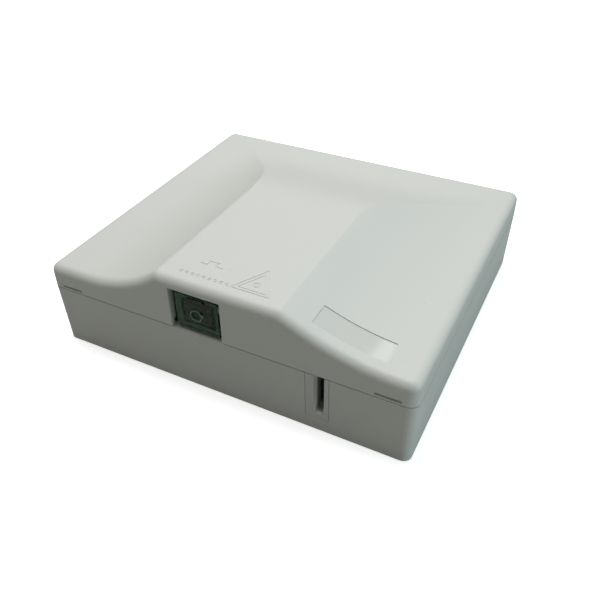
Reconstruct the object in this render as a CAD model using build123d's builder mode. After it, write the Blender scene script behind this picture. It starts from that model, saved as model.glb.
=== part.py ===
"""Optical network terminal: a wall box that ends an optical fibre at one socket.

Units are millimetres.  The origin is the centre of the underside.  X runs along the front
wall, Y from the front wall to the hinged rear wall, and Z from the mounting face up to the
raised ridge over the socket.
"""

from build123d import *
from math import pi, radians, tan
import os

os.makedirs("parts", exist_ok=True)

# ---------------------------------------------------------------- driving dimensions
WIDTH = 100.0
DEPTH = 91.0
RIDGE_Z = 32.0  # flat top of the ridge
EDGE_Z = 24.2  # low top surface along the left, right and rear edges
RIM_Z = 17.6  # top edge of the base walls
COVER_Z = 17.85  # lower edge of the cover walls
CEILING_Z = 40.0  # any height well above the cover
ON_FLOOR = (Align.CENTER, Align.CENTER, Align.MIN)
DRAFT = 1.0  # moulding draft of every outer wall, degrees
CORNER_R = 2.5
TOP_EDGE_R = 2.2
WALL = 2.0
FLOOR = 2.0

FRONT_Y = -DEPTH / 2
REAR_Y = DEPTH / 2

# Top surface: two finger grips beside the ridge, and a ramp behind it.  Each grip is
# (x of its foot, side of the ridge as seen from the foot, scoop radius, slope, crest radius).
LEFT_GRIP = (-38.0, 1, 35.0, 36.0, 2.0)
RIGHT_GRIP = (47.0, -1, 58.5, 24.0, 1.2)
RAMP_TOP = (5.5, RIDGE_Z)  # y and z of the corner between ridge and ramp
RAMP_FOOT = (31.5, EDGE_Z)
RAMP_SLOPE = 16.7  # degrees
RAMP_TOP_R = 40.0
RAMP_FOOT_R = 35.0

# Tongue on the base rim, and the groove in the cover that drops over it.
TONGUE_INSET = 1.15
TONGUE_T = 0.7
TONGUE_H = 1.2
GROOVE_INSET = 0.9
GROOVE_H = 1.6

# Socket window and the optical axis behind it.
WINDOW_X0 = -12.0
WINDOW_X1 = 2.2
WINDOW_TOP_Z = 29.2
WINDOW_W = WINDOW_X1 - WINDOW_X0
AXIS_X = -4.6
AXIS_Z = 23.3

# Adapter: a square push-pull coupler in two halves.
ADAPTER_W = 12.4
ADAPTER_H = 9.4
ADAPTER_BORE_W = 9.4
ADAPTER_BORE_H = 7.4
ADAPTER_HALF = 13.6
ADAPTER_Y = FRONT_Y + 15.5  # meeting plane of the two halves
EAR_W = 16.0
EAR_T = 1.6
WEB_T = 1.2  # wall across each half at the meeting plane
KEYWAY_W = 3.4
CLIP_T = 0.3
HOLDER_R = 2.1
HOLDER_BORE_R = 1.65
HOLDER_REACH = 7.5
SLEEVE_R = 1.6
FERRULE_R = 1.25

# Plug behind the adapter, measured from the adapter's meeting plane.
GRIP_W = 9.1
GRIP_H = 7.1
GRIP_BORE_W = 7.6
GRIP_BORE_H = 6.0
GRIP_START = 3.0
GRIP_LENGTH = 22.0
KEY_W = 2.2
KEY_LENGTH = 5.0
KEY_H = 0.6  # height of the key above the grip
PLUG_W = 7.4
PLUG_H = 5.8
PLUG_START = 8.0
PLUG_LENGTH = 16.0
PLUG_BORE_R = 2.3
SPRING_START = 12.25
SPRING_TURNS = 6
SPRING_PITCH = 0.95
SPRING_R = 1.8
SPRING_WIRE_R = 0.22
BOOT_START = 27.4
BOOT_LENGTH = 20.0
BOOT_R = (2.75, 1.4)
FIBRE_R = 0.45

# Dust cap in the socket window.
CAP_W = 12.0
CAP_H = 10.4
CAP_T = 1.1
CAP_RECESS = 0.6  # front of the cap behind the front wall
CAP_SKIRT_W = 9.0
CAP_SKIRT_H = 7.0
CAP_SKIRT_T = 0.8
CAP_SKIRT_L = 5.0

# Organiser deck that carries the adapter, the fibre and the splice.
DECK_Z = 15.0
DECK_T = 1.5
DECK_TOP = DECK_Z + DECK_T
DECK_X = 46.6
DECK_FRONT_Y = FRONT_Y + 4.2
DECK_REAR_Y = REAR_Y - 6.0
BOSS_R = 3.4
SCREW_R = 1.0
HEAD_R = 2.0
BOSS_POINTS = [(-40.0, -35.0), (40.0, 33.0), (-40.0, 33.0)]
GUIDE_R = 16.0
GUIDE_T = 1.2
GUIDE_H = 3.4
LIP_W = 3.6
LIP_T = 0.8
GUIDE_CENTRES = [(18.0, 14.0, 0), (-16.0, 14.0, 90), (-16.0, 2.5, 180), (18.0, 2.5, 270)]
CRADLE_T = 1.3
CRADLE_L = 22.0
CRADLE_H = 7.0
CABLE_BAY = (24.0, 16.0)  # notch in the deck behind the cable entry
DECK_WAY = (14.0, 18.0)  # hole in the middle of the deck for the fibre from the wall

# Holes for the wall screws, the rear cable way and the cable entry.
WALL_HOLE_SPACING = 60.0
WALL_HOLE_R = 2.25
WALL_HOLE_Y = 4.0
WALL_PAD_R = 5.5
DRIVER_R = 4.6  # hole in the deck that lets a screwdriver reach a wall screw
CABLE_WAY = (16.0, 12.0, 3.0, 20.0)  # width, depth and centre of the way through the floor
ENTRY_X = 26.75
ENTRY_W = 6.1
ENTRY_Z0 = 4.0
ENTRY_GAP = 0.1
ENTRY_BOSS = 2.5  # extra wall each side of the opening, behind the front wall
ENTRY_BOSS_TOP = 16.5
ENTRY_FLANGE = 1.0  # how far the insert reaches into its groove on each side
ENTRY_GROOVE_Y = FRONT_Y + 3.4
SLOT_X = 27.4
SLOT_W = 2.0
SLOT_Z0 = 6.0
SLOT_PLATE_T = 1.6
SLOT_ROOM_W = 3.6
CLAMP_Y = FRONT_Y + 12.0
CLAMP_POINTS = [(SLOT_X - 5.5, CLAMP_Y), (SLOT_X + 5.5, CLAMP_Y)]
CLAMP_Z = 8.0
CLAMP_POST_R = 2.6
CLAMP_SIZE = (16.0, 6.0)
CLAMP_T = 1.6
CLAMP_RIBS = 3
CLAMP_RIB_PITCH = 1.8

# Splice tray on the left of the deck.
SPLICE_X = (-44.0, -40.6)
SPLICE_Y0 = -2.0
SPLICE_LENGTH = 30.0
SPLICE_R = 1.25
SPLICE_Z = DECK_TOP + 1.9

# Recessed label panel beside the ridge, and shallow marks on the ridge by the socket.
LABEL_SIZE = (17.8, 6.6)
LABEL_POINT = (32.4, FRONT_Y + 7.4)
LABEL_DEPTH = 0.22
LABEL_CORNER_R = 0.3
MARK_DEPTH = 0.1
SIGN_POINT = (8.2, FRONT_Y + 7.0)
DIMPLE_POINT = (-4.2, FRONT_Y + 4.4)  # centre of a row of dimples
DIMPLE_COUNT = 9
DIMPLE_PITCH = 1.55
DIMPLE_R = 0.5

# Cover hinge tabs and front snap arms.
TAB_X = (-30.0, 30.0)
TAB_W = 8.0
TAB_T = 1.0
TAB_DROP = 4.0
TAB_SKIN = 0.8  # wall left outside each notch
TAB_ROOM = 5.0
SNAP_X = (-36.5, 37.0)
SNAP_Y = FRONT_Y + 2.35  # front face of the arms
SNAP_W = 6.0
SNAP_T = 1.2
SNAP_BARB = 0.5
SNAP_Z = 12.6
PRY_SLOTS = (-43.1, 43.4)
PRY_W = 6.2


def export(builder, name):
    """Name a finished piece and write it to its own file."""
    builder.part.label = name
    export_step(builder.part, f"parts/{name}.step")


def along_y(x, y, z):
    """Plane whose normal looks along +Y, with its own axes along X and up."""
    return Plane(origin=(x, y, z), x_dir=(-1, 0, 0), z_dir=(0, 1, 0))


# ---------------------------------------------------------------- shared outer surfaces
def base_form(inset, bottom):
    """Drafted block of the base walls, moved in by inset and cut off at bottom."""
    with BuildPart() as form:
        with BuildSketch(Plane.XY.offset(RIM_Z)):
            RectangleRounded(WIDTH - 2 * inset, DEPTH - 2 * inset, max(CORNER_R - inset, 0.6))
        extrude(amount=bottom - RIM_Z, taper=DRAFT)
    return form.part


def grip_space(grip, inset):
    """Space above one finger grip: a scoop that rises to the ridge and runs the whole depth."""
    foot_x, side, scoop_r, slope, crest_r = grip
    half = tan(radians(slope / 2))
    corner = (scoop_r + inset) * half
    crest = corner + (RIDGE_Z - EDGE_Z) / tan(radians(slope))
    end = crest + crest_r * half + 1.0
    start = abs(foot_x) - WIDTH / 2 - 2
    low, high = EDGE_Z - inset, RIDGE_Z - inset
    across = Plane(origin=(foot_x, REAR_Y + 2, 0), x_dir=(side, 0, 0), z_dir=(0, -side, 0))
    with BuildPart() as space:
        with BuildSketch(across):
            with BuildLine():
                FilletPolyline(
                    (start, low),
                    (corner, low),
                    (crest, high),
                    (end, high),
                    radius=[scoop_r + inset, max(crest_r - inset, 0.4)],
                )
                Polyline((end, high), (end, CEILING_Z), (start, CEILING_Z), (start, low))
            make_face()
        extrude(amount=side * (DEPTH + 4))
    return space.part


def cover_form(inset, bottom, edge_r):
    """Solid of the cover's outer shape, moved in by inset all over."""
    shift = inset * tan(radians(RAMP_SLOPE / 2))
    low, high = EDGE_Z - inset, RIDGE_Z - inset
    left_space = grip_space(LEFT_GRIP, inset)
    right_space = grip_space(RIGHT_GRIP, inset)
    with BuildPart() as form:
        with BuildSketch(Plane.XY.offset(COVER_Z)):
            RectangleRounded(WIDTH - 2 * inset, DEPTH - 2 * inset, max(CORNER_R - inset, 0.6))
        extrude(amount=RIDGE_Z + 2 - COVER_Z, taper=DRAFT)
        if bottom < COVER_Z:
            with BuildSketch(Plane.XY.offset(COVER_Z)):
                RectangleRounded(WIDTH - 2 * inset, DEPTH - 2 * inset, max(CORNER_R - inset, 0.6))
            extrude(amount=bottom - COVER_Z)
        front, rear = FRONT_Y - 2, REAR_Y + 2
        with BuildSketch(Plane.YZ.offset(-WIDTH / 2 - 1)):
            with BuildLine():
                FilletPolyline(
                    (front, high),
                    (RAMP_TOP[0] - shift, high),
                    (RAMP_FOOT[0] - shift, low),
                    (rear, low),
                    radius=[RAMP_TOP_R - inset, RAMP_FOOT_R + inset],
                )
                Polyline((rear, low), (rear, CEILING_Z), (front, CEILING_Z), (front, high))
            make_face()
        extrude(amount=WIDTH + 2, mode=Mode.SUBTRACT)
        add(left_space, mode=Mode.SUBTRACT)
        add(right_space, mode=Mode.SUBTRACT)
        if edge_r > 0:
            rim = form.edges().filter_by(is_top_rim)
            fillet(rim, radius=edge_r)
    return form.part


def is_top_rim(edge):
    """True for an edge that lies on the outline of the cover's top surface."""
    for place in (0.0, 0.5, 1.0):
        p = edge @ place
        near = min(WIDTH / 2 - abs(p.X), DEPTH / 2 - abs(p.Y))
        if p.Z < EDGE_Z - 0.05 or near > 1.3:
            return False
    return True


OUTER_BASE = base_form(0, 0)
OUTER_COVER = cover_form(0, COVER_Z, TOP_EDGE_R)
INNER_COVER = cover_form(WALL, COVER_Z - 1, 0)

# ---------------------------------------------------------------- base shell
with BuildPart() as base_shell:
    add(OUTER_BASE)
    with BuildSketch(Plane.XY.offset(FLOOR)):
        RectangleRounded(WIDTH - 2 * WALL - 0.6, DEPTH - 2 * WALL - 0.6, 1.0)
    extrude(amount=RIM_Z, mode=Mode.SUBTRACT)

    # Tongue round the rim.
    with BuildSketch(Plane.XY.offset(RIM_Z - 0.5)):
        RectangleRounded(WIDTH - 2 * TONGUE_INSET, DEPTH - 2 * TONGUE_INSET, 1.4)
        inner = TONGUE_INSET + TONGUE_T
        RectangleRounded(WIDTH - 2 * inner, DEPTH - 2 * inner, 0.8, mode=Mode.SUBTRACT)
    extrude(amount=TONGUE_H + 0.5)
    # The tongue stops short of the socket window.
    with BuildSketch(Plane.XY.offset(RIM_Z)):
        with Locations(((WINDOW_X0 + WINDOW_X1) / 2, FRONT_Y + 1.5)):
            Rectangle(WINDOW_W + 1.0, 3.0)
    extrude(amount=TONGUE_H + 1, mode=Mode.SUBTRACT)

    # Posts that carry the deck, with a core hole for a screw.
    with BuildSketch(Plane.XY.offset(FLOOR - 0.5)):
        with Locations(*BOSS_POINTS):
            Circle(BOSS_R)
    extrude(amount=DECK_Z - FLOOR + 0.5)
    with BuildSketch(Plane.XY.offset(DECK_Z)):
        with Locations(*BOSS_POINTS):
            Circle(SCREW_R + 0.1)
    extrude(amount=-8.0, mode=Mode.SUBTRACT)

    # Posts of the cable clamp behind the entry.
    with BuildSketch(Plane.XY.offset(FLOOR - 0.5)):
        with Locations(*CLAMP_POINTS):
            Circle(CLAMP_POST_R)
    extrude(amount=CLAMP_Z - FLOOR + 0.5)
    with BuildSketch(Plane.XY.offset(CLAMP_Z)):
        with Locations(*CLAMP_POINTS):
            Circle(SCREW_R + 0.1)
    extrude(amount=-5.0, mode=Mode.SUBTRACT)

    # Holes for the wall screws, each in a raised pad, and the rear cable way.
    with BuildSketch(Plane.XY.offset(FLOOR - 0.5)):
        with Locations((0, WALL_HOLE_Y)):
            with GridLocations(WALL_HOLE_SPACING, 0, 2, 1):
                Circle(WALL_PAD_R)
    extrude(amount=1.5)
    with BuildSketch():
        with Locations((0, WALL_HOLE_Y)):
            with GridLocations(WALL_HOLE_SPACING, 0, 2, 1):
                Circle(WALL_HOLE_R)
    extrude(amount=FLOOR + 2, mode=Mode.SUBTRACT)
    way_w, way_d, way_x, way_y = CABLE_WAY
    with BuildSketch():
        with Locations((way_x, way_y)):
            RectangleRounded(way_w, way_d, 2.0)
    extrude(amount=FLOOR + 1, mode=Mode.SUBTRACT)

    # Opening for the cable entry insert, with a groove behind it.
    entry_h = RIM_Z - ENTRY_Z0 + 3
    entry_z = ENTRY_Z0 + entry_h / 2
    boss_h = ENTRY_BOSS_TOP - FLOOR + 0.5
    with Locations((ENTRY_X, FRONT_Y + 3.3, ENTRY_BOSS_TOP - boss_h / 2)):
        Box(ENTRY_W + 2 * ENTRY_BOSS, 3.4, boss_h)
    with Locations((ENTRY_X, ENTRY_GROOVE_Y, entry_z - 1.0)):
        Box(ENTRY_W + 2 * ENTRY_FLANGE + 0.4, 1.4, entry_h, mode=Mode.SUBTRACT)
    with Locations((ENTRY_X, FRONT_Y + 2.7, entry_z)):
        Box(ENTRY_W, 7.4, entry_h, mode=Mode.SUBTRACT)

    # Notches for the cover's hinge tabs in the rear wall, with a skin left outside.
    for tab_x in TAB_X:
        with Locations((tab_x, REAR_Y - TAB_SKIN - TAB_ROOM / 2, RIM_Z - 1.2)):
            Box(TAB_W + 0.8, TAB_ROOM, 2 * TAB_DROP + 1.0, mode=Mode.SUBTRACT)

    # Blind pockets in the front wall that catch the snap arms, and room for the arms.
    for snap_x in SNAP_X:
        with Locations((snap_x, FRONT_Y + 1.85, SNAP_Z)):
            Box(SNAP_W + 0.6, 1.7, 2.2, mode=Mode.SUBTRACT)
        with Locations((snap_x, FRONT_Y + 1.6, RIM_Z + 1.0)):
            Box(SNAP_W + 0.8, 2.0, 2.0, mode=Mode.SUBTRACT)
export(base_shell, "base_shell")

# ---------------------------------------------------------------- cover shell
# Thin layer over the outer surface, for the recess of the label panel.
with BuildPart() as label_layer:
    with BuildSketch(Plane.XY.offset(EDGE_Z - 2)):
        with Locations(LABEL_POINT):
            RectangleRounded(*LABEL_SIZE, LABEL_CORNER_R)
    extrude(amount=12)
    add(OUTER_COVER.moved(Location((0, 0, -LABEL_DEPTH))), mode=Mode.SUBTRACT)

with BuildPart() as cover_shell:
    add(OUTER_COVER)
    add(INNER_COVER, mode=Mode.SUBTRACT)

    # Groove over the base tongue.
    with BuildSketch(Plane.XY.offset(COVER_Z - 1)):
        RectangleRounded(WIDTH - 2 * GROOVE_INSET, DEPTH - 2 * GROOVE_INSET, 1.6)
    extrude(amount=GROOVE_H + 1, mode=Mode.SUBTRACT)

    # Socket window, open at the parting edge.
    window_h = WINDOW_TOP_Z - COVER_Z + 1
    with Locations(((WINDOW_X0 + WINDOW_X1) / 2, FRONT_Y + 1, WINDOW_TOP_Z - window_h / 2)):
        Box(WINDOW_W, 2 * WALL + 2, window_h, mode=Mode.SUBTRACT)

    # Pry slots just above the parting edge.
    for pry_x in PRY_SLOTS:
        with Locations((pry_x, FRONT_Y + 0.1, COVER_Z + 0.75)):
            Box(PRY_W, 1.5, 0.7, mode=Mode.SUBTRACT)

    # Label panel and the shallow marks on the ridge.
    add(label_layer.part, mode=Mode.SUBTRACT)
    with BuildSketch(Plane.XY.offset(RIDGE_Z)):
        with Locations(SIGN_POINT):
            Triangle(a=10.6, b=10.9, c=10.9)
            Triangle(a=9.4, b=9.7, c=9.7, mode=Mode.SUBTRACT)
            Triangle(a=7.4, b=7.6, c=7.6)
            Triangle(a=6.8, b=7.0, c=7.0, mode=Mode.SUBTRACT)
            Circle(1.0)
            Circle(0.6, mode=Mode.SUBTRACT)
        with Locations(DIMPLE_POINT):
            with GridLocations(DIMPLE_PITCH, 0, DIMPLE_COUNT, 1):
                Circle(DIMPLE_R)
                Circle(DIMPLE_R / 2, mode=Mode.SUBTRACT)
        with BuildLine(Plane.XY.offset(RIDGE_Z)):
            step_mark = Polyline(
                (AXIS_X - 3.5, FRONT_Y + 9.0),
                (AXIS_X - 1.6, FRONT_Y + 9.0),
                (AXIS_X - 1.6, FRONT_Y + 10.5),
                (AXIS_X + 0.8, FRONT_Y + 10.5),
                (AXIS_X + 0.8, FRONT_Y + 9.0),
                (AXIS_X + 2.8, FRONT_Y + 9.0),
            )
        trace(lines=step_mark.edges(), line_width=0.35)
    extrude(amount=-MARK_DEPTH, mode=Mode.SUBTRACT)

    # Hinge tabs that rock in the notches of the rear wall.
    for tab_x in TAB_X:
        tab_y = REAR_Y - GROOVE_INSET - 0.3 - TAB_T / 2
        with Locations((tab_x, tab_y, COVER_Z + 0.5 - TAB_DROP / 2)):
            Box(TAB_W, TAB_T, TAB_DROP + 4.0)
        with Locations((tab_x, REAR_Y - 1.6, COVER_Z + 2.6)):
            Box(TAB_W, 1.6, 2.2)

    # Snap arms behind the front wall.
    arm_z0, arm_z1 = SNAP_Z - 1.4, EDGE_Z - 1
    for snap_x in SNAP_X:
        with Locations((snap_x, SNAP_Y + SNAP_T / 2, (arm_z0 + arm_z1) / 2)):
            Box(SNAP_W, SNAP_T, arm_z1 - arm_z0)
        with Locations((snap_x, SNAP_Y - 0.15, COVER_Z + GROOVE_H + 2.2)):
            Box(SNAP_W, 1.6, 3.6)
        with BuildSketch(Plane.YZ.offset(snap_x - SNAP_W / 2)):
            with BuildLine():
                Polyline(
                    (SNAP_Y + 0.05, SNAP_Z - 1.2),
                    (SNAP_Y - SNAP_BARB, SNAP_Z),
                    (SNAP_Y - SNAP_BARB, SNAP_Z + 0.3),
                    (SNAP_Y + 0.05, SNAP_Z + 0.8),
                    close=True,
                )
            make_face()
        extrude(amount=SNAP_W)
export(cover_shell, "cover_shell")

# ---------------------------------------------------------------- cable entry insert
with BuildPart() as cable_entry_insert:
    entry_z0 = ENTRY_Z0 + ENTRY_GAP
    insert_h = RIM_Z - entry_z0
    with Locations((ENTRY_X, FRONT_Y + 2.4, entry_z0 + insert_h / 2)):
        Box(ENTRY_W - 2 * ENTRY_GAP, 4.8, insert_h)
    add(OUTER_BASE, mode=Mode.INTERSECT)
    with Locations((ENTRY_X, ENTRY_GROOVE_Y, entry_z0 + insert_h / 2)):
        Box(ENTRY_W + 2 * ENTRY_FLANGE, 1.1, insert_h - 0.8)
    # Room behind the slot, so that only a thin plate stands in front.
    with Locations((SLOT_X, FRONT_Y + SLOT_PLATE_T, SLOT_Z0 - 0.6)):
        Box(SLOT_ROOM_W, 8.0, RIM_Z, align=(Align.CENTER, Align.MIN, Align.MIN), mode=Mode.SUBTRACT)
    # Slot for a flat drop cable, open at the rim, with a lead-in on its edges.
    with BuildSketch(Plane.XZ.offset(-FRONT_Y + 1)):
        with Locations((SLOT_X, SLOT_Z0 + 10)):
            RectangleRounded(SLOT_W, 20, 0.4)
    extrude(amount=-8.0, mode=Mode.SUBTRACT)
    with BuildSketch(Plane.XZ.offset(-FRONT_Y + 0.3)):
        with Locations((SLOT_X - 0.2, SLOT_Z0 + 9.6)):
            RectangleRounded(SLOT_W + 1.4, 20.6, 0.6)
    extrude(amount=-1.5, taper=35, mode=Mode.SUBTRACT)
export(cable_entry_insert, "cable_entry_insert")

# ---------------------------------------------------------------- organiser deck
deck_w = 2 * DECK_X
deck_d = DECK_REAR_Y - DECK_FRONT_Y
deck_y = (DECK_REAR_Y + DECK_FRONT_Y) / 2
cradle_x = ADAPTER_W / 2 + 0.15 + CRADLE_T / 2
with BuildPart() as organiser_deck:
    with BuildSketch(Plane.XY.offset(DECK_Z)):
        with Locations((0, deck_y)):
            RectangleRounded(deck_w, deck_d, 3.0)
        with Locations(*BOSS_POINTS):
            Circle(SCREW_R + 0.3, mode=Mode.SUBTRACT)
        # Reach-through holes over the wall screws, and the cable bay behind the entry.
        with Locations((0, WALL_HOLE_Y)):
            with GridLocations(WALL_HOLE_SPACING, 0, 2, 1):
                Circle(DRIVER_R, mode=Mode.SUBTRACT)
        with Locations((SLOT_X + 2, DECK_FRONT_Y + 6.0)):
            Rectangle(*CABLE_BAY, mode=Mode.SUBTRACT)
        with Locations((0, WALL_HOLE_Y)):
            RectangleRounded(*DECK_WAY, 3.0, mode=Mode.SUBTRACT)
    extrude(amount=DECK_T)

    # Cradle of the adapter: a pad below, a wall each side with a slot for the ears.
    pad_z = AXIS_Z - ADAPTER_H / 2 - 0.05
    with Locations((AXIS_X, ADAPTER_Y, DECK_TOP)):
        Box(ADAPTER_W + 2.9, CRADLE_L, pad_z - DECK_TOP, align=ON_FLOOR)
    for side in (-1, 1):
        with Locations((AXIS_X + side * cradle_x, ADAPTER_Y, DECK_TOP - 0.5)):
            Box(CRADLE_T, CRADLE_L, CRADLE_H, align=ON_FLOOR)
        with Locations((AXIS_X + side * cradle_x, ADAPTER_Y, pad_z)):
            Box(CRADLE_T + 1, 2 * EAR_T + 0.3, CRADLE_H + 1, align=ON_FLOOR, mode=Mode.SUBTRACT)

    # Four curved guides that hold the fibre loop, each with a lip over the fibre.
    for guide_x, guide_y, turn in GUIDE_CENTRES:
        with BuildSketch(Plane(origin=(guide_x, guide_y, DECK_TOP - 0.5))):
            with BuildLine():
                CenterArc((0, 0), GUIDE_R, turn + 8, 74)
            trace(line_width=GUIDE_T)
        extrude(amount=GUIDE_H + 0.5)
        with BuildSketch(Plane(origin=(guide_x, guide_y, DECK_TOP + GUIDE_H - LIP_T))):
            with BuildLine():
                CenterArc((0, 0), GUIDE_R + LIP_W / 2, turn + 36, 18)
            trace(line_width=LIP_W)
        extrude(amount=LIP_T)

    # Splice tray: three rails, open above.
    rail_pitch = (SPLICE_X[1] - SPLICE_X[0]) / 2 + 2.0
    with Locations((sum(SPLICE_X) / 2, SPLICE_Y0 + SPLICE_LENGTH / 2, DECK_TOP - 0.5)):
        with GridLocations(rail_pitch, 0, 3, 1):
            Box(0.8, SPLICE_LENGTH - 6.0, 3.6, align=ON_FLOOR)
export(organiser_deck, "organiser_deck")

# ---------------------------------------------------------------- adapter
def adapter_half(direction):
    """One half of the adapter body; direction is -1 for the front half and +1 for the rear."""
    middle = ADAPTER_Y + direction * ADAPTER_HALF / 2
    with BuildPart() as half:
        with BuildSketch(along_y(AXIS_X, ADAPTER_Y, AXIS_Z)):
            RectangleRounded(ADAPTER_W, ADAPTER_H, 0.5)
        extrude(amount=direction * ADAPTER_HALF)
        with Locations((AXIS_X, ADAPTER_Y + direction * EAR_T / 2, AXIS_Z)):
            Box(EAR_W, EAR_T, ADAPTER_H)
        with BuildSketch(along_y(AXIS_X, ADAPTER_Y + direction * WEB_T, AXIS_Z)):
            Rectangle(ADAPTER_BORE_W, ADAPTER_BORE_H)
        extrude(amount=direction * ADAPTER_HALF, mode=Mode.SUBTRACT)
        with BuildSketch(along_y(AXIS_X, ADAPTER_Y, AXIS_Z)):
            Circle(HOLDER_R + 0.05)
        extrude(amount=direction * 3.0, mode=Mode.SUBTRACT)
        # Keyway through the top wall, open at the mouth.
        with Locations((AXIS_X, middle + direction * 3.0, AXIS_Z + ADAPTER_H / 2)):
            Box(KEYWAY_W, ADAPTER_HALF - 5.0, 2.0, mode=Mode.SUBTRACT)
    return half


adapter_front_body = adapter_half(-1)
export(adapter_front_body, "adapter_front_body")
adapter_rear_body = adapter_half(1)
export(adapter_rear_body, "adapter_rear_body")


def sleeve_holder(direction):
    """Tube with two latch arms that holds one end of the alignment sleeve."""
    with BuildPart() as holder:
        with BuildSketch(along_y(AXIS_X, ADAPTER_Y + direction * 0.02, AXIS_Z)):
            Circle(HOLDER_R)
        extrude(amount=direction * HOLDER_REACH)
        with BuildSketch(along_y(AXIS_X, ADAPTER_Y + direction * (WEB_T + 0.05), AXIS_Z)):
            Circle(HOLDER_R + 0.5)
        extrude(amount=direction * 0.8)
        with BuildSketch(along_y(AXIS_X, ADAPTER_Y, AXIS_Z)):
            Circle(HOLDER_BORE_R)
        extrude(amount=direction * (HOLDER_REACH - 0.8), mode=Mode.SUBTRACT)
        with BuildSketch(along_y(AXIS_X, ADAPTER_Y, AXIS_Z)):
            Circle(FERRULE_R + 0.05)
        extrude(amount=direction * (HOLDER_REACH + 1), mode=Mode.SUBTRACT)
        for side in (-1, 1):
            with Locations((AXIS_X + side * 2.85, ADAPTER_Y + direction * (WEB_T + 0.45), AXIS_Z)):
                Box(1.6, 0.8, 2.2)
            with Locations((AXIS_X + side * 3.35, ADAPTER_Y + direction * (WEB_T + 3.2), AXIS_Z)):
                Box(0.6, 6.3, 2.2)
            with Locations((AXIS_X + side * 3.2, ADAPTER_Y + direction * (WEB_T + 5.9), AXIS_Z)):
                Box(0.9, 0.9, 2.2)
    return holder


sleeve_holder_front = sleeve_holder(-1)
export(sleeve_holder_front, "sleeve_holder_front")
sleeve_holder_rear = sleeve_holder(1)
export(sleeve_holder_rear, "sleeve_holder_rear")

with BuildPart() as alignment_sleeve:
    with BuildSketch(along_y(AXIS_X, ADAPTER_Y - 5.7, AXIS_Z)):
        Circle(SLEEVE_R)
        Circle(FERRULE_R + 0.02, mode=Mode.SUBTRACT)
        with Locations((0, SLEEVE_R)):
            Rectangle(0.4, 1.4, mode=Mode.SUBTRACT)
    extrude(amount=11.4)
export(alignment_sleeve, "alignment_sleeve")

# Sheet clip that springs over the front half and keeps it in the cradle.
clip_x = ADAPTER_W / 2 + 1.65
clip_z = AXIS_Z + ADAPTER_H / 2 + 0.05
with BuildPart() as adapter_clip:
    with BuildSketch(along_y(AXIS_X, ADAPTER_Y + 3.0, 0)):
        with BuildLine():
            Polyline(
                (-clip_x, clip_z - 1.0),
                (-clip_x, clip_z + 0.15),
                (clip_x, clip_z + 0.15),
                (clip_x, clip_z - 1.0),
            )
        trace(line_width=CLIP_T)
    extrude(amount=5.0)
    with Locations((AXIS_X, ADAPTER_Y + 5.5, clip_z)):
        Box(KEYWAY_W - 0.6, 2.6, 2.0, mode=Mode.SUBTRACT)
export(adapter_clip, "adapter_clip")

# ---------------------------------------------------------------- dust cap
cap_y = FRONT_Y + CAP_RECESS
with BuildPart() as dust_cap:
    with BuildSketch(along_y(AXIS_X, cap_y, AXIS_Z - 0.05)):
        RectangleRounded(CAP_W, CAP_H, 0.8)
    extrude(amount=CAP_T)
    fillet(dust_cap.edges().group_by(Axis.Y)[0], radius=0.3)
    with BuildSketch(along_y(AXIS_X, cap_y + CAP_T, AXIS_Z)):
        RectangleRounded(CAP_SKIRT_W, CAP_SKIRT_H, 0.5)
        offset(amount=-CAP_SKIRT_T, kind=Kind.INTERSECTION, mode=Mode.SUBTRACT)
    extrude(amount=CAP_SKIRT_L)
    # Raised ring and thumb bar on the outside.
    with BuildSketch(along_y(AXIS_X, cap_y, AXIS_Z)):
        Circle(1.8)
        Circle(1.25, mode=Mode.SUBTRACT)
    extrude(amount=-0.4)
    with BuildSketch(along_y(AXIS_X, cap_y, AXIS_Z + CAP_H / 2 - 0.9)):
        RectangleRounded(4.8, 0.9, 0.3)
    extrude(amount=-0.45)
export(dust_cap, "dust_cap")

# ---------------------------------------------------------------- plug
def disc(start, radius):
    """Disc across the optical axis, measured back from the meeting plane of the adapter."""
    with BuildSketch(Plane(origin=(AXIS_X, ADAPTER_Y + start, AXIS_Z), z_dir=(0, 1, 0))) as face:
        Circle(radius)
    return face.sketch


with BuildPart() as plug_grip:
    with BuildSketch(along_y(AXIS_X, ADAPTER_Y + GRIP_START, AXIS_Z)):
        RectangleRounded(GRIP_W, GRIP_H, 0.4)
        Rectangle(GRIP_BORE_W, GRIP_BORE_H, mode=Mode.SUBTRACT)
    extrude(amount=GRIP_LENGTH)
    # Finger ribs on the part that stands out of the adapter.
    with Locations((AXIS_X, ADAPTER_Y + ADAPTER_HALF + 6.0, AXIS_Z)):
        with GridLocations(GRIP_W, 1.4, 2, 5):
            Box(0.5, 0.7, GRIP_H - 1.0, mode=Mode.SUBTRACT)
    # Key on top.
    with Locations((AXIS_X, ADAPTER_Y + ADAPTER_HALF + 3.0, AXIS_Z + GRIP_H / 2 - 0.1)):
        Box(KEY_W, KEY_LENGTH, KEY_H + 0.1, align=ON_FLOOR)
export(plug_grip, "plug_grip")

with BuildPart() as plug_body:
    with BuildSketch(along_y(AXIS_X, ADAPTER_Y + PLUG_START, AXIS_Z)):
        RectangleRounded(PLUG_W, PLUG_H, 0.4)
        Circle(PLUG_BORE_R, mode=Mode.SUBTRACT)
    extrude(amount=PLUG_LENGTH)
export(plug_body, "plug_body")

with BuildPart() as ferrule:
    extrude(disc(0.05, FERRULE_R), amount=10.4)
    chamfer(ferrule.edges().group_by(Axis.Y)[0], length=0.2)
export(ferrule, "ferrule")

with BuildPart() as ferrule_holder:
    extrude(disc(8.6, 2.2), amount=3.4)
    extrude(disc(11.9, 1.4), amount=3.0)
    extrude(disc(8.0, FERRULE_R + 0.01), amount=2.5, mode=Mode.SUBTRACT)
    extrude(disc(8.0, 0.5), amount=9.0, mode=Mode.SUBTRACT)
export(ferrule_holder, "ferrule_holder")

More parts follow.
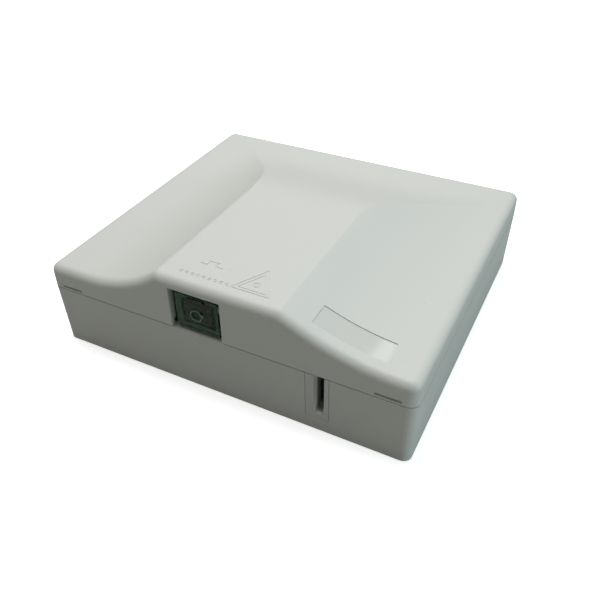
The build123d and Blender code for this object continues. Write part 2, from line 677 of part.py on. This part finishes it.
with BuildPart() as plug_spring:
    with BuildLine() as coil:
        Helix(
            pitch=SPRING_PITCH,
            height=SPRING_PITCH * SPRING_TURNS,
            radius=SPRING_R,
            center=(AXIS_X, ADAPTER_Y + SPRING_START, AXIS_Z),
            direction=(0, 1, 0),
        )
    with BuildSketch(Plane(origin=coil.line @ 0, z_dir=coil.line % 0)):
        Circle(SPRING_WIRE_R)
    sweep()
export(plug_spring, "plug_spring")

with BuildPart() as plug_backbone:
    extrude(disc(18.4, 2.25), amount=5.7)
    extrude(disc(24.1, 2.9), amount=2.0)
    extrude(disc(26.0, 1.75), amount=5.0)
    extrude(disc(18.0, 0.7), amount=14.0, mode=Mode.SUBTRACT)
export(plug_backbone, "plug_backbone")

with BuildPart() as crimp_sleeve:
    extrude(disc(26.3, 2.2), amount=4.6)
    extrude(disc(26.0, 1.8), amount=6.0, mode=Mode.SUBTRACT)
export(crimp_sleeve, "crimp_sleeve")

with BuildPart() as plug_boot:
    with BuildSketch(along_y(AXIS_X, ADAPTER_Y + BOOT_START, AXIS_Z)):
        Circle(BOOT_R[0])
    with BuildSketch(along_y(AXIS_X, ADAPTER_Y + BOOT_START + BOOT_LENGTH, AXIS_Z)):
        Circle(BOOT_R[1])
    loft()
    for step in range(5):
        with BuildSketch(along_y(AXIS_X, ADAPTER_Y + BOOT_START + 6.0 + 2.4 * step, AXIS_Z)):
            Circle(BOOT_R[0] + 1)
            Circle(1.9 - 0.14 * step, mode=Mode.SUBTRACT)
        extrude(amount=0.8, mode=Mode.SUBTRACT)
    extrude(disc(BOOT_START - 1, 2.25), amount=5.2, mode=Mode.SUBTRACT)
    extrude(disc(BOOT_START - 1, 0.6), amount=BOOT_LENGTH + 2, mode=Mode.SUBTRACT)
export(plug_boot, "plug_boot")

# ---------------------------------------------------------------- pigtail fibre
# One and three quarter turns round the guides, from the boot to the splice.
boot_end_y = ADAPTER_Y + BOOT_START + BOOT_LENGTH
high_z = DECK_TOP + 1.9
low_z = DECK_TOP + 0.7
loop_x0, loop_x1 = -33.7, 35.7
loop_y0, loop_y1 = -15.2, 31.7
splice_x = SPLICE_X[1]
fibre_points = [
    (AXIS_X, boot_end_y - 8.0, AXIS_Z),
    (AXIS_X, boot_end_y + 2.0, AXIS_Z),
    (AXIS_X + 9.0, loop_y1, high_z),
    (loop_x1, loop_y1, high_z),
    (loop_x1, loop_y0, high_z),
    (loop_x0, loop_y0, high_z),
    (loop_x0, loop_y1, low_z),
    (loop_x1, loop_y1 + 0.01, low_z),
    (loop_x1, loop_y0, low_z),
    (splice_x, loop_y0, low_z),
    (splice_x, SPLICE_Y0 - 0.3, SPLICE_Z),
]
fibre_radii = [11.0, 14.0, 17.0, 17.0, 17.0, 17.0, 17.0, 17.0, 11.0]
with BuildPart() as pigtail_fibre:
    with BuildLine() as route:
        FilletPolyline(*fibre_points, radius=fibre_radii)
    with BuildSketch(Plane(origin=route.line @ 0, z_dir=route.line % 0)):
        Circle(FIBRE_R)
    sweep()
export(pigtail_fibre, "pigtail_fibre")
fibre_length = route.wires()[0].length
print("fibre length", round(fibre_length, 1))
fibre_ratio = pigtail_fibre.part.volume / (fibre_length * pi * FIBRE_R**2)
print("fibre volume over section times length", round(fibre_ratio, 3))

# ---------------------------------------------------------------- splices
with BuildPart() as splice_protectors:
    for x in SPLICE_X:
        with BuildSketch(Plane(origin=(x, SPLICE_Y0, SPLICE_Z), z_dir=(0, 1, 0))):
            Circle(SPLICE_R)
            Circle(0.5, mode=Mode.SUBTRACT)
        extrude(amount=SPLICE_LENGTH)
export(splice_protectors, "splice_protectors")

# ---------------------------------------------------------------- cable clamp
with BuildPart() as cable_clamp:
    with BuildSketch(Plane.XY.offset(CLAMP_Z + 0.02)):
        with Locations((SLOT_X, CLAMP_Y)):
            RectangleRounded(*CLAMP_SIZE, 2.0)
        with Locations(*CLAMP_POINTS):
            Circle(SCREW_R + 0.3, mode=Mode.SUBTRACT)
    extrude(amount=CLAMP_T)
    # Gripping ribs across the cable.
    with Locations((SLOT_X, CLAMP_Y, CLAMP_Z)):
        with GridLocations(0, CLAMP_RIB_PITCH, 1, CLAMP_RIBS):
            Box(5.0, 0.6, 0.8)
export(cable_clamp, "cable_clamp")


def pan_screw(x, y, seat_z, shank):
    """Pan-head screw with a cross recess, its head resting at seat_z."""
    with BuildPart() as screw:
        with Locations((x, y, seat_z + 0.02)):
            Cylinder(HEAD_R, 1.3, align=ON_FLOOR)
        fillet(screw.edges().group_by(Axis.Z)[-1], radius=0.5)
        with Locations((x, y, seat_z + 0.5)):
            Cylinder(SCREW_R, shank + 0.5, align=(Align.CENTER, Align.CENTER, Align.MAX))
        with Locations((x, y, seat_z + 1.4)):
            Box(2.2, 0.5, 1.2, mode=Mode.SUBTRACT)
            Box(0.5, 2.2, 1.2, mode=Mode.SUBTRACT)
    return screw.part


with BuildPart() as deck_screws:
    for x, y in BOSS_POINTS:
        add(pan_screw(x, y, DECK_TOP, 8.0))
export(deck_screws, "deck_screws")

with BuildPart() as clamp_screws:
    for x, y in CLAMP_POINTS:
        add(pan_screw(x, y, CLAMP_Z + CLAMP_T + 0.02, 6.0))
export(clamp_screws, "clamp_screws")
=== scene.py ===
"""Optical network terminal: finishes, small visible pieces, light and camera."""

from math import pi, radians

import bmesh
import bpy
from mathutils import Matrix, Vector


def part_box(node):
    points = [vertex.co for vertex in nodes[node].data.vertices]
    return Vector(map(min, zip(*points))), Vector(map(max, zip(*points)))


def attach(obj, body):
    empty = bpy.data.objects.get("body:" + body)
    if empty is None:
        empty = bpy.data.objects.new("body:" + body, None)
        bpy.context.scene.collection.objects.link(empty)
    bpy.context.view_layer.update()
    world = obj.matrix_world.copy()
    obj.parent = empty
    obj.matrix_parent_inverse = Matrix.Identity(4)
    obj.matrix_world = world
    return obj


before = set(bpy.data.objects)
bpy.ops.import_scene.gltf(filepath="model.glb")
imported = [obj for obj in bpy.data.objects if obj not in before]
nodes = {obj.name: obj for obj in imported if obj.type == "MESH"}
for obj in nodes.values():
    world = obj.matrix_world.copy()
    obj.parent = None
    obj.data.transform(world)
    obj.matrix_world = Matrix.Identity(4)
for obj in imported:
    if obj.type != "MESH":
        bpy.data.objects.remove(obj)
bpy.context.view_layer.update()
MM = 0.001


# ---------------------------------------------------------------- shader helpers
def wire(tree, source, target):
    """Join an output socket to an input socket."""
    tree.links.new(source, target)


def math_node(tree, operation, first, second=None, clamp=False):
    """A Math node on sockets or plain numbers; returns its output."""
    node = tree.nodes.new("ShaderNodeMath")
    node.operation = operation
    node.use_clamp = clamp
    for slot_index, value in enumerate((first, second)):
        if value is None:
            continue
        if isinstance(value, (int, float)):
            node.inputs[slot_index].default_value = value
        else:
            wire(tree, value, node.inputs[slot_index])
    return node.outputs[0]


def new_group(name, inputs, outputs):
    """A shader node group with named sockets; returns it with its two end nodes."""
    group = bpy.data.node_groups.new(name, "ShaderNodeTree")
    for label, kind, default in inputs:
        socket = group.interface.new_socket(label, in_out="INPUT", socket_type=kind)
        if default is not None:
            socket.default_value = default
    for label, kind in outputs:
        group.interface.new_socket(label, in_out="OUTPUT", socket_type=kind)
    start = group.nodes.new("NodeGroupInput")
    end = group.nodes.new("NodeGroupOutput")
    return group, start, end


FLOAT = "NodeSocketFloat"
COLOUR = "NodeSocketColor"
VECTOR = "NodeSocketVector"


def grain_group():
    """Spark-eroded mould texture: a height, and a mask of its broad uneven patches."""
    group, start, end = new_group(
        "moulded grain",
        [("Coordinates", VECTOR, None), ("Grain Size mm", FLOAT, 0.4)],
        [("Height", FLOAT), ("Patches", FLOAT)],
    )
    per_metre = math_node(group, "DIVIDE", 1000.0, start.outputs["Grain Size mm"])
    grain = group.nodes.new("ShaderNodeTexNoise")
    grain.inputs["Detail"].default_value = 3.0
    grain.inputs["Roughness"].default_value = 0.6
    wire(group, start.outputs["Coordinates"], grain.inputs["Vector"])
    wire(group, per_metre, grain.inputs["Scale"])
    pits = group.nodes.new("ShaderNodeTexVoronoi")
    pits.feature = "SMOOTH_F1"
    wire(group, start.outputs["Coordinates"], pits.inputs["Vector"])
    wire(group, math_node(group, "MULTIPLY", per_metre, 0.8), pits.inputs["Scale"])
    height = math_node(group, "ADD", grain.outputs["Fac"], pits.outputs["Distance"])
    wire(group, height, end.inputs["Height"])
    patches = group.nodes.new("ShaderNodeTexNoise")
    patches.inputs["Scale"].default_value = 38.0
    patches.inputs["Detail"].default_value = 2.0
    wire(group, start.outputs["Coordinates"], patches.inputs["Vector"])
    wire(group, patches.outputs["Fac"], end.inputs["Patches"])
    return group


GRAIN = grain_group()


def start_material(name):
    """An empty node material with its Principled shader and object coordinates."""
    material = bpy.data.materials.new(name)
    material.use_nodes = True
    tree = material.node_tree
    shader = tree.nodes["Principled BSDF"]
    coordinates = tree.nodes.new("ShaderNodeTexCoord").outputs["Object"]
    return material, tree, shader, coordinates


def tint(tree, factor, dark, light):
    """Mix two colours by a factor socket."""
    mix = tree.nodes.new("ShaderNodeMix")
    mix.data_type = "RGBA"
    mix.inputs["A"].default_value = (*dark, 1.0)
    mix.inputs["B"].default_value = (*light, 1.0)
    wire(tree, factor, mix.inputs["Factor"])
    return mix.outputs["Result"]


def remap(tree, value, low, high):
    """Spread a 0 to 1 value over low to high."""
    node = tree.nodes.new("ShaderNodeMapRange")
    node.inputs["To Min"].default_value = low
    node.inputs["To Max"].default_value = high
    wire(tree, value, node.inputs["Value"])
    return node.outputs["Result"]


def add_bump(tree, shader, height, strength, distance_mm):
    """Give the shader a bump from a height socket."""
    bump = tree.nodes.new("ShaderNodeBump")
    bump.inputs["Strength"].default_value = strength
    bump.inputs["Distance"].default_value = distance_mm * MM
    wire(tree, height, bump.inputs["Height"])
    wire(tree, bump.outputs["Normal"], shader.inputs["Normal"])
    return bump


def moulded(name, colour, rough=0.5, grain_mm=0.4, bump_mm=0.02, variation=0.03, specular=0.5):
    """Injection moulded plastic with a fine mould texture."""
    material, tree, shader, coordinates = start_material(name)
    grain = tree.nodes.new("ShaderNodeGroup")
    grain.node_tree = GRAIN
    grain.inputs["Grain Size mm"].default_value = grain_mm
    wire(tree, coordinates, grain.inputs["Coordinates"])
    dark = tuple(c * (1 - variation) for c in colour)
    light = tuple(min(1.0, c * (1 + variation)) for c in colour)
    wire(tree, tint(tree, grain.outputs["Patches"], dark, light), shader.inputs["Base Color"])
    rough_value = remap(tree, grain.outputs["Patches"], rough - 0.06, rough + 0.06)
    wire(tree, rough_value, shader.inputs["Roughness"])
    shader.inputs["Specular IOR Level"].default_value = specular
    add_bump(tree, shader, grain.outputs["Height"], 0.5, bump_mm)
    return material


def metal(name, colour, rough=0.3, line_scale=(400.0, 4000.0, 4000.0)):
    """Drawn or brushed metal with fine lines."""
    material, tree, shader, coordinates = start_material(name)
    mapping = tree.nodes.new("ShaderNodeMapping")
    mapping.inputs["Scale"].default_value = line_scale
    wire(tree, coordinates, mapping.inputs["Vector"])
    lines = tree.nodes.new("ShaderNodeTexNoise")
    lines.inputs["Scale"].default_value = 1.0
    lines.inputs["Detail"].default_value = 3.0
    wire(tree, mapping.outputs["Vector"], lines.inputs["Vector"])
    dark = tuple(c * 0.85 for c in colour)
    wire(tree, tint(tree, lines.outputs["Fac"], dark, colour), shader.inputs["Base Color"])
    wire(tree, remap(tree, lines.outputs["Fac"], rough - 0.08, rough + 0.12), shader.inputs["Roughness"])
    shader.inputs["Metallic"].default_value = 1.0
    add_bump(tree, shader, lines.outputs["Fac"], 0.2, 0.01)
    return material


def speck_group():
    """Mask of a few small specks of dust, far apart."""
    group, start, end = new_group(
        "dust specks",
        [("Coordinates", VECTOR, None), ("Spacing mm", FLOAT, 14.0), ("Speck mm", FLOAT, 0.5)],
        [("Mask", FLOAT)],
    )
    cells = group.nodes.new("ShaderNodeTexVoronoi")
    wire(group, start.outputs["Coordinates"], cells.inputs["Vector"])
    wire(group, math_node(group, "DIVIDE", 1000.0, start.outputs["Spacing mm"]), cells.inputs["Scale"])
    reach = math_node(group, "DIVIDE", start.outputs["Speck mm"], start.outputs["Spacing mm"])
    near = math_node(group, "DIVIDE", cells.outputs["Distance"], reach)
    fade = math_node(group, "SUBTRACT", 1.0, near, clamp=True)
    pick = group.nodes.new("ShaderNodeSeparateColor")
    wire(group, cells.outputs["Color"], pick.inputs["Color"])
    chosen = math_node(group, "GREATER_THAN", pick.outputs["Red"], 0.55)
    wire(group, math_node(group, "MULTIPLY", fade, chosen), end.inputs["Mask"])
    return group


SPECKS = speck_group()


def inside(tree, coordinates, low, high):
    """Mask of 1 where x and y, in millimetres, lie between low and high."""
    split = tree.nodes.new("ShaderNodeSeparateXYZ")
    wire(tree, coordinates, split.inputs["Vector"])
    mask = None
    for axis, start, stop in (("X", low[0], high[0]), ("Y", low[1], high[1])):
        above = math_node(tree, "GREATER_THAN", split.outputs[axis], start * MM)
        below = math_node(tree, "LESS_THAN", split.outputs[axis], stop * MM)
        both = math_node(tree, "MULTIPLY", above, below)
        mask = both if mask is None else math_node(tree, "MULTIPLY", mask, both)
    return mask


def mix_value(tree, factor, first, second):
    """Mix two values by a factor socket."""
    node = tree.nodes.new("ShaderNodeMix")
    node.data_type = "FLOAT"
    wire(tree, factor, node.inputs["Factor"])
    for label, value in (("A", first), ("B", second)):
        if isinstance(value, (int, float)):
            node.inputs[label].default_value = value
        else:
            wire(tree, value, node.inputs[label])
    return node.outputs["Result"]


# The label panel in the right grip: lowest and highest x and y in millimetres.
LABEL_LOW = (23.5, -41.4)
LABEL_HIGH = (41.3, -34.8)


def housing(name, colour, with_label):
    """Matte white housing moulding with a few dust specks and, on the cover, a glossy label panel."""
    material, tree, shader, coordinates = start_material(name)
    grain = tree.nodes.new("ShaderNodeGroup")
    grain.node_tree = GRAIN
    grain.inputs["Grain Size mm"].default_value = 0.42
    wire(tree, coordinates, grain.inputs["Coordinates"])
    specks = tree.nodes.new("ShaderNodeGroup")
    specks.node_tree = SPECKS
    wire(tree, coordinates, specks.inputs["Coordinates"])
    dark = tuple(c * 0.985 for c in colour)
    light = tuple(c * 1.015 for c in colour)
    plain = tint(tree, grain.outputs["Patches"], dark, light)
    dusty = tree.nodes.new("ShaderNodeMix")
    dusty.data_type = "RGBA"
    dusty.inputs["B"].default_value = (*(c * 0.72 for c in colour), 1.0)
    wire(tree, plain, dusty.inputs["A"])
    wire(tree, math_node(tree, "MULTIPLY", specks.outputs["Mask"], 0.5), dusty.inputs["Factor"])
    wire(tree, dusty.outputs["Result"], shader.inputs["Base Color"])
    rough = remap(tree, grain.outputs["Patches"], 0.42, 0.54)
    height = math_node(tree, "ADD", grain.outputs["Height"], specks.outputs["Mask"])
    if with_label:
        label = inside(tree, coordinates, LABEL_LOW, LABEL_HIGH)
        rough = mix_value(tree, label, rough, 0.12)
        height = mix_value(tree, label, height, 0.5)
        wire(tree, math_node(tree, "MULTIPLY", label, 0.9), shader.inputs["Coat Weight"])
        shader.inputs["Coat Roughness"].default_value = 0.1
    wire(tree, rough, shader.inputs["Roughness"])
    add_bump(tree, shader, height, 0.55, 0.03)
    return material


def clear(name, colour, rough):
    """Clear tinted moulding with faint flow clouds in its polish."""
    material, tree, shader, coordinates = start_material(name)
    cloud = tree.nodes.new("ShaderNodeTexNoise")
    cloud.inputs["Scale"].default_value = 420.0
    cloud.inputs["Detail"].default_value = 2.0
    wire(tree, coordinates, cloud.inputs["Vector"])
    dark = tuple(c * 0.9 for c in colour)
    wire(tree, tint(tree, cloud.outputs["Fac"], dark, colour), shader.inputs["Base Color"])
    wire(tree, remap(tree, cloud.outputs["Fac"], rough * 0.6, rough * 1.4), shader.inputs["Roughness"])
    shader.inputs["Transmission Weight"].default_value = 1.0
    shader.inputs["Specular IOR Level"].default_value = 0.35
    shader.inputs["IOR"].default_value = 1.45
    return material


def finish_node(node, material):
    """Give a CAD node its material."""
    data = nodes[node].data
    data.materials.clear()
    data.materials.append(material)


# ---------------------------------------------------------------- finishes of the CAD nodes
finish_node("cover_shell", housing("cover white", (0.60, 0.615, 0.585), True))
finish_node("base_shell", housing("base white", (0.59, 0.605, 0.575), False))
insert_white = moulded("insert white", (0.57, 0.59, 0.56), rough=0.5, grain_mm=0.4, bump_mm=0.02)
finish_node("cable_entry_insert", insert_white)
deck_white = moulded("deck white", (0.62, 0.63, 0.60), rough=0.4, grain_mm=0.8, bump_mm=0.01)
finish_node("organiser_deck", deck_white)
finish_node("cable_clamp", deck_white)
adapter_green = moulded("adapter green", (0.04, 0.24, 0.08), rough=0.32, grain_mm=0.6, bump_mm=0.008)
finish_node("adapter_front_body", adapter_green)
finish_node("adapter_rear_body", adapter_green)
holder_green = moulded("holder green", (0.03, 0.16, 0.07), rough=0.3, grain_mm=0.6, bump_mm=0.005)
finish_node("sleeve_holder_front", holder_green)
finish_node("sleeve_holder_rear", holder_green)
ceramic = moulded("white ceramic", (0.85, 0.84, 0.80), rough=0.12, grain_mm=0.2, bump_mm=0.001)
finish_node("alignment_sleeve", ceramic)
finish_node("ferrule", ceramic)
finish_node("adapter_clip", metal("clip steel", (0.62, 0.63, 0.64), 0.3))
finish_node("dust_cap", clear("smoke clear", (0.40, 0.66, 0.50), 0.03))
finish_node("plug_grip", moulded("plug green", (0.01, 0.17, 0.05), rough=0.38, grain_mm=0.5, bump_mm=0.01))
finish_node("plug_body", moulded("plug white", (0.7, 0.7, 0.68), rough=0.35, grain_mm=0.5, bump_mm=0.005))
nickel = metal("nickel plate", (0.66, 0.64, 0.58), 0.25)
finish_node("ferrule_holder", nickel)
finish_node("crimp_sleeve", nickel)
finish_node("plug_spring", metal("spring wire", (0.58, 0.58, 0.58), 0.3))
finish_node("plug_backbone", metal("plated brass", (0.72, 0.60, 0.36), 0.3))
finish_node("plug_boot", moulded("boot green", (0.01, 0.14, 0.05), rough=0.55, grain_mm=0.5, bump_mm=0.01))
fibre_white = moulded("fibre white", (0.78, 0.76, 0.66), rough=0.4, grain_mm=0.3, bump_mm=0.003)
finish_node("pigtail_fibre", fibre_white)
finish_node("splice_protectors", clear("splice clear", (0.9, 0.9, 0.88), 0.12))
zinc = metal("zinc plate", (0.66, 0.67, 0.68), 0.28, (2500.0, 2500.0, 2500.0))
finish_node("deck_screws", zinc)
finish_node("clamp_screws", zinc)


# ---------------------------------------------------------------- small visible pieces
SHARP = 1.2  # an edge turning by more than this, in radians, is a rim


def new_piece(name, shape, material, body):
    """Turn a finished bmesh into an object at the origin that rides on a body."""
    bmesh.ops.recalc_face_normals(shape, faces=shape.faces)
    mesh = bpy.data.meshes.new(name)
    shape.to_mesh(mesh)
    shape.free()
    mesh.materials.append(material)
    piece = bpy.data.objects.new(name, mesh)
    bpy.context.scene.collection.objects.link(piece)
    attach(piece, body)
    return piece


def round_edges(shape, edges, width_mm):
    """Bevel some edges of a shape."""
    bmesh.ops.bevel(
        shape,
        geom=edges,
        offset=width_mm * MM,
        offset_type="OFFSET",
        affect="EDGES",
        segments=2,
        profile=0.5,
        material=-1,
        clamp_overlap=True,
    )


def stand_up(shape, centre):
    """Turn a shape drawn flat on the ground to face the front wall, and move it to its centre."""
    bmesh.ops.rotate(shape, verts=shape.verts, cent=(0, 0, 0), matrix=Matrix.Rotation(pi / 2, 3, "X"))
    bmesh.ops.translate(shape, verts=shape.verts, vec=centre)


def ring_bead(name, radius, bead_radius, centre, material):
    """Round bead on the front of the cap."""
    shape = bmesh.new()
    section = bmesh.ops.create_circle(shape, segments=10, radius=bead_radius * MM)["verts"]
    bmesh.ops.rotate(shape, verts=section, cent=(0, 0, 0), matrix=Matrix.Rotation(pi / 2, 3, "X"))
    bmesh.ops.translate(shape, verts=section, vec=(radius * MM, 0, 0))
    bmesh.ops.spin(
        shape,
        geom=shape.edges[:],
        cent=(0, 0, 0),
        axis=(0, 0, 1),
        angle=2 * pi,
        steps=48,
        use_merge=True,
    )
    bmesh.ops.remove_doubles(shape, verts=shape.verts, dist=1e-7)
    stand_up(shape, centre)
    return new_piece(name, shape, material, "cap")


def rod(name, radius, length, start, material, body):
    """Straight rod along +Y from its start, with small chamfers."""
    shape = bmesh.new()
    bmesh.ops.create_cone(
        shape,
        cap_ends=True,
        segments=24,
        radius1=radius * MM,
        radius2=radius * MM,
        depth=length * MM,
    )
    bmesh.ops.rotate(shape, verts=shape.verts, cent=(0, 0, 0), matrix=Matrix.Rotation(pi / 2, 3, "X"))
    bmesh.ops.translate(shape, verts=shape.verts, vec=Vector(start) + Vector((0, length * MM / 2, 0)))
    rims = [edge for edge in shape.edges if edge.calc_face_angle(0.0) > SHARP]
    round_edges(shape, rims, radius * 0.2)
    return new_piece(name, shape, material, body)


# Bead on the raised ring of the clear cap in a lighter opaque finish: a painted highlight standing in for
# the light that the ring's clear edge catches.
cap_low, cap_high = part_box("dust_cap")
cap_centre = (Vector(cap_low) + Vector(cap_high)) / 2
RING_DEPTH = 0.15  # centre of the bead behind the front of the cap
RING_LIFT = 0.05  # the ring sits on the optical axis, just above the middle of the cap
ring_place = (cap_centre[0], cap_low[1] + RING_DEPTH * MM, cap_centre[2] + RING_LIFT * MM)
# Opaque tinted finish of the bead: painted highlight for the clear ring's edge, not a frosted surface of the
# cap.
ring_glint_finish = moulded("ring bead painted highlight", (0.22, 0.30, 0.25), rough=0.22, grain_mm=0.3, bump_mm=0.004)
RING_R = 1.52
RING_BEAD_R = 0.14
ring_bead("cap_ring_bead", RING_R, RING_BEAD_R, ring_place, ring_glint_finish)

# Steel strength rods in the two clear splice protectors.
splice_low, splice_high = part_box("splice_protectors")
SPLICE_OUTER_R = 1.25
SPLICE_ROD_R = 0.42
SPLICE_ROD_L = 29.0
SPLICE_ROD_INSET = 0.5  # from the end of the protector
for side, rod_x in (("left", splice_low[0]), ("right", splice_high[0])):
    inward = SPLICE_OUTER_R * MM if side == "left" else -SPLICE_OUTER_R * MM
    start = (rod_x + inward, splice_low[1] + SPLICE_ROD_INSET * MM, (splice_low[2] + splice_high[2]) / 2)
    rod("splice_rod_" + side, SPLICE_ROD_R, SPLICE_ROD_L, start, zinc, "base")

# ---------------------------------------------------------------- floor, light and camera
FLOOR_GLOW = 0.55  # emission that only the camera sees
FLOOR_SIZE = 6.0  # metres


def plane_object(name, size, material):
    """A flat square on the ground."""
    mesh = bpy.data.meshes.new(name)
    shape = bmesh.new()
    bmesh.ops.create_grid(shape, x_segments=1, y_segments=1, size=size / 2)
    shape.to_mesh(mesh)
    shape.free()
    obj = bpy.data.objects.new(name, mesh)
    bpy.context.scene.collection.objects.link(obj)
    mesh.materials.append(material)
    return obj


def floor_finish():
    """Pale sweep: near white to the eye, but it throws back little light from below."""
    material, tree, shader, coordinates = start_material("floor pale")
    shader.inputs["Roughness"].default_value = 0.9
    mottle = tree.nodes.new("ShaderNodeTexNoise")
    mottle.inputs["Scale"].default_value = 6.0
    wire(tree, coordinates, mottle.inputs["Vector"])
    seen = tint(tree, mottle.outputs["Fac"], (0.93, 0.93, 0.93), (0.96, 0.96, 0.96))
    rays = tree.nodes.new("ShaderNodeLightPath")
    shade = tree.nodes.new("ShaderNodeMix")
    shade.data_type = "RGBA"
    shade.inputs["A"].default_value = (0.30, 0.30, 0.28, 1.0)
    wire(tree, seen, shade.inputs["B"])
    wire(tree, rays.outputs["Is Camera Ray"], shade.inputs["Factor"])
    wire(tree, shade.outputs["Result"], shader.inputs["Base Color"])
    shader.inputs["Emission Color"].default_value = (1.0, 1.0, 1.0, 1.0)
    glow = math_node(tree, "MULTIPLY", rays.outputs["Is Camera Ray"], FLOOR_GLOW)
    wire(tree, glow, shader.inputs["Emission Strength"])
    return material


plane_object("floor", FLOOR_SIZE, floor_finish())


def soft_light(name, place, target, size, power, colour=(1.0, 1.0, 1.0)):
    """A square area light at a place, turned to a target; places in metres."""
    data = bpy.data.lights.new(name, "AREA")
    data.shape = "SQUARE"
    data.size = size
    data.energy = power
    data.color = colour
    lamp = bpy.data.objects.new(name, data)
    bpy.context.scene.collection.objects.link(lamp)
    lamp.location = place
    lamp.rotation_mode = "QUATERNION"
    lamp.rotation_quaternion = (Vector(target) - Vector(place)).to_track_quat("-Z", "Y")
    return lamp


AIM = (0.0, 0.0, 0.02)
soft_light("key from above", (-0.13, 0.12, 0.95), AIM, 0.55, 5.9)
soft_light("window behind the left", (-0.40, 0.98, 0.95), AIM, 0.8, 3.2)
soft_light("cool fill from the right", (1.0, 0.05, 0.24), AIM, 0.4, 3.3, (0.70, 0.92, 1.0))

world = bpy.data.worlds.new("studio")
bpy.context.scene.world = world
world.use_nodes = True
world.node_tree.nodes["Background"].inputs["Color"].default_value = (1.0, 0.99, 0.95, 1.0)
world.node_tree.nodes["Background"].inputs["Strength"].default_value = 0.28
bpy.context.scene.view_settings.view_transform = "Standard"

# The camera stands front right of the box and looks down on it.
CAMERA_PLACE = (0.07213, -0.14077, 0.12210)
CAMERA_AZIMUTH = 27.35  # degrees round from the front
CAMERA_ELEVATION = 38.15
CAMERA_ROLL = -0.74
LENS_MM = 40.05

camera_data = bpy.data.cameras.new("camera")
camera_data.sensor_width = 36.0
camera_data.lens = LENS_MM
camera_data.clip_start = 0.01
camera = bpy.data.objects.new("camera", camera_data)
bpy.context.scene.collection.objects.link(camera)
azimuth, elevation = radians(CAMERA_AZIMUTH), radians(CAMERA_ELEVATION)
turn = Matrix.Rotation(azimuth, 4, "Z") @ Matrix.Rotation(pi / 2 - elevation, 4, "X")
camera.matrix_world = Matrix.Translation(CAMERA_PLACE) @ turn @ Matrix.Rotation(radians(CAMERA_ROLL), 4, "Z")
bpy.context.scene.camera = camera
